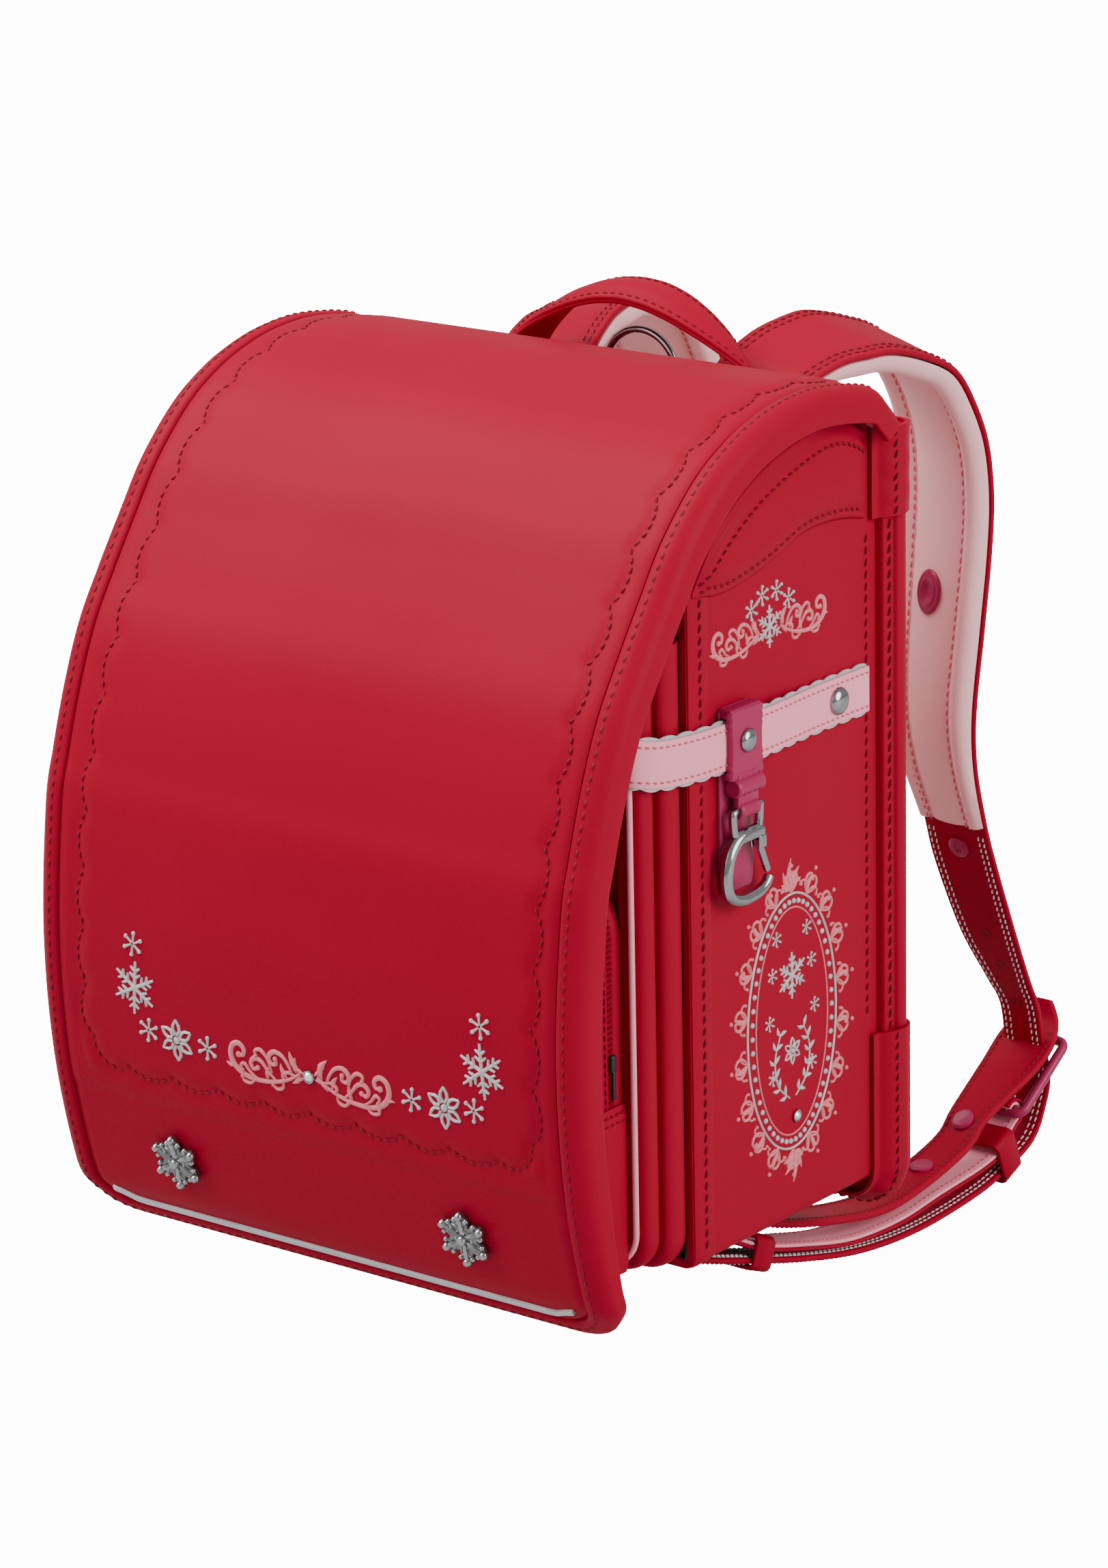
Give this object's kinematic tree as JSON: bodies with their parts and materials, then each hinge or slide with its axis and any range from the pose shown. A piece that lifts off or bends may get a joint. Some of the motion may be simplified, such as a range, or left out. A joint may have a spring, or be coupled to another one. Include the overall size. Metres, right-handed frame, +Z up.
{
  "type": "school ransel",
  "caption": "Stiff leather school satchel worn on the back, with a long rounded flap, top handle, padded shoulder straps, hang ring, side belts with snap hooks and buckled lower belts.",
  "frame": {"origin": "the point under the middle of the top handle where a hand or a wall hook carries the bag", "axes": "+Z up, the flap faces -Y and the wearer's back is on +Y, X across the bag"},
  "size_m": [0.271, 0.404, 0.411],
  "materials": {
    "red_leather": "smooth semi-gloss artificial leather with a fine pebbled grain",
    "dark_leather": "smooth dark red artificial leather",
    "pink_leather": "smooth satin pale pink artificial leather",
    "lining_leather": "soft matte dusty pink padded leather",
    "magenta_plastic": "moulded magenta plastic, semi-gloss",
    "silver_trim": "silver reflective tape",
    "chrome_metal": "bright plated steel"
  },
  "bodies": {
    "root": {"gusset": "red_leather", "back_board": "red_leather", "back_pad": "lining_leather", "back_hem": "red_leather", "corner_cover_top_right": "red_leather", "corner_cover_top_left": "red_leather", "corner_cover_bottom_right": "red_leather", "corner_cover_bottom_left": "red_leather", "front_roll": "red_leather", "front_panel": "red_leather", "pocket_roll": "red_leather", "pocket_face": "red_leather", "pocket_edging": "pink_leather", "zip_pocket": "red_leather", "zip_pocket_wrap": "red_leather", "side_overlay_right": "red_leather", "side_overlay_left": "red_leather", "flap_panel": "red_leather", "flap_hem": "red_leather", "reflective_strip": "silver_trim", "snow_rivet_right": "chrome_metal", "snow_rivet_left": "chrome_metal", "lock_tongue": "dark_leather", "lock_plate": "chrome_metal", "yoke": "red_leather", "handle": "red_leather", "ring_holder": "dark_leather", "strap_shell_right": "red_leather", "strap_shell_left": "red_leather", "strap_pad_right": "lining_leather", "strap_pad_left": "lining_leather", "tongue_belt_right": "red_leather", "tongue_belt_left": "red_leather", "lower_belt_right": "pink_leather", "lower_belt_left": "pink_leather", "buckle_frame_right": "magenta_plastic", "buckle_frame_left": "magenta_plastic", "buckle_pin_right": "chrome_metal", "buckle_pin_left": "chrome_metal", "rear_keeper_right": "red_leather", "rear_keeper_left": "red_leather", "front_keeper_right": "red_leather", "front_keeper_left": "red_leather", "base_ring_right": "chrome_metal", "base_ring_left": "chrome_metal", "base_tab_right": "red_leather", "base_tab_left": "red_leather", "side_belt_right": "pink_leather", "side_belt_left": "pink_leather", "belt_rivet_right": "chrome_metal", "belt_rivet_left": "chrome_metal", "hook_keeper_right": "magenta_plastic", "hook_keeper_left": "magenta_plastic", "keeper_rivet_right": "chrome_metal", "keeper_rivet_left": "chrome_metal"},
    "ring": {"hang_ring": "chrome_metal"},
    "hook_right": {"hook_body_right": "chrome_metal"},
    "hook_left": {"hook_body_left": "chrome_metal"},
    "gate_right": {"hook_gate_right": "chrome_metal"},
    "gate_left": {"hook_gate_left": "chrome_metal"}
  },
  "joints": [
    {"name": "hang_ring_pivot", "type": "hinge", "parent": "root", "child": "ring", "pos_m": [0, 0.0053, -0.0391], "axis": [-1, 0, 0], "range_deg": [-10, 90]},
    {"name": "hook_swing_right", "type": "hinge", "parent": "root", "child": "hook_right", "pos_m": [0.1311, -0.107, -0.16452], "axis": [0, -1, 0], "range_deg": [0, 90]},
    {"name": "hook_swing_left", "type": "hinge", "parent": "root", "child": "hook_left", "pos_m": [-0.1311, -0.107, -0.16452], "axis": [0, 1, 0], "range_deg": [0, 90]},
    {"name": "hook_gate_right", "type": "hinge", "parent": "hook_right", "child": "gate_right", "pos_m": [0.1311, -0.0995, -0.17952], "axis": [-1, 0, 0], "range_deg": [0, 30], "stiffness_Nm_per_rad": 0.004, "springref_deg": -11.46},
    {"name": "hook_gate_left", "type": "hinge", "parent": "hook_left", "child": "gate_left", "pos_m": [-0.1311, -0.0995, -0.17952], "axis": [-1, 0, 0], "range_deg": [0, 30], "stiffness_Nm_per_rad": 0.004, "springref_deg": -11.46}
  ]
}
